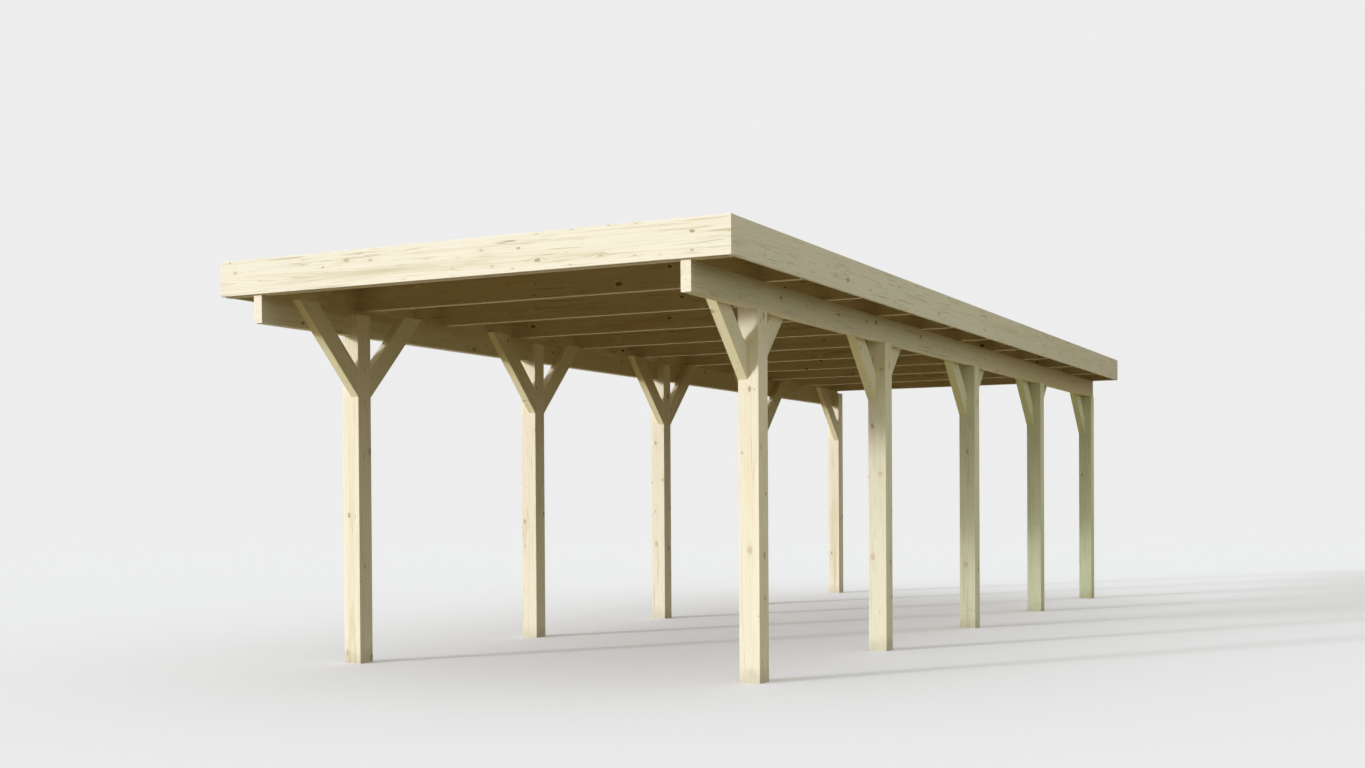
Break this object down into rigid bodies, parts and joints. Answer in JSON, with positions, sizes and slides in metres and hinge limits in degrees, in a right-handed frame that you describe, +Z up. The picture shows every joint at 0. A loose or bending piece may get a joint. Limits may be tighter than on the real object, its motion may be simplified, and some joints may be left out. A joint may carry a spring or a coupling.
{
  "type": "open timber carport",
  "caption": "Single carport of treated softwood: an open post frame with knee braces, purlins, rafters and a flat roof behind fascia boards.",
  "frame": {"origin": "on the ground, midway along and across the roof", "axes": "+X across the bay to the right as seen from the entrance, +Y from the entrance to the rear, +Z up"},
  "size_m": [3.18, 8.95, 2.33],
  "materials": {
    "post_timber": "planed, pressure treated",
    "beam_timber": "planed, pressure treated",
    "fascia_timber": "planed, pressure treated",
    "roof_boards": "planed",
    "roofing_felt": "mineral surfaced"
  },
  "bodies": {
    "root": {"post_left_1": "post_timber", "braces_left_1": "post_timber", "post_left_2": "post_timber", "braces_left_2": "post_timber", "post_left_3": "post_timber", "braces_left_3": "post_timber", "post_left_4": "post_timber", "braces_left_4": "post_timber", "post_left_5": "post_timber", "braces_left_5": "post_timber", "purlin_left": "beam_timber", "fascia_left": "fascia_timber", "post_right_1": "post_timber", "braces_right_1": "post_timber", "post_right_2": "post_timber", "braces_right_2": "post_timber", "post_right_3": "post_timber", "braces_right_3": "post_timber", "post_right_4": "post_timber", "braces_right_4": "post_timber", "post_right_5": "post_timber", "braces_right_5": "post_timber", "purlin_right": "beam_timber", "fascia_right": "fascia_timber", "rafter_1": "beam_timber", "rafter_2": "beam_timber", "rafter_3": "beam_timber", "rafter_4": "beam_timber", "rafter_5": "beam_timber", "rafter_6": "beam_timber", "rafter_7": "beam_timber", "rafter_8": "beam_timber", "rafter_9": "beam_timber", "rafter_10": "beam_timber", "rafter_11": "beam_timber", "fascia_front": "fascia_timber", "fascia_rear": "fascia_timber", "roof_boarding": "roof_boards", "roof_felt": "roofing_felt"}
  },
  "joints": []
}
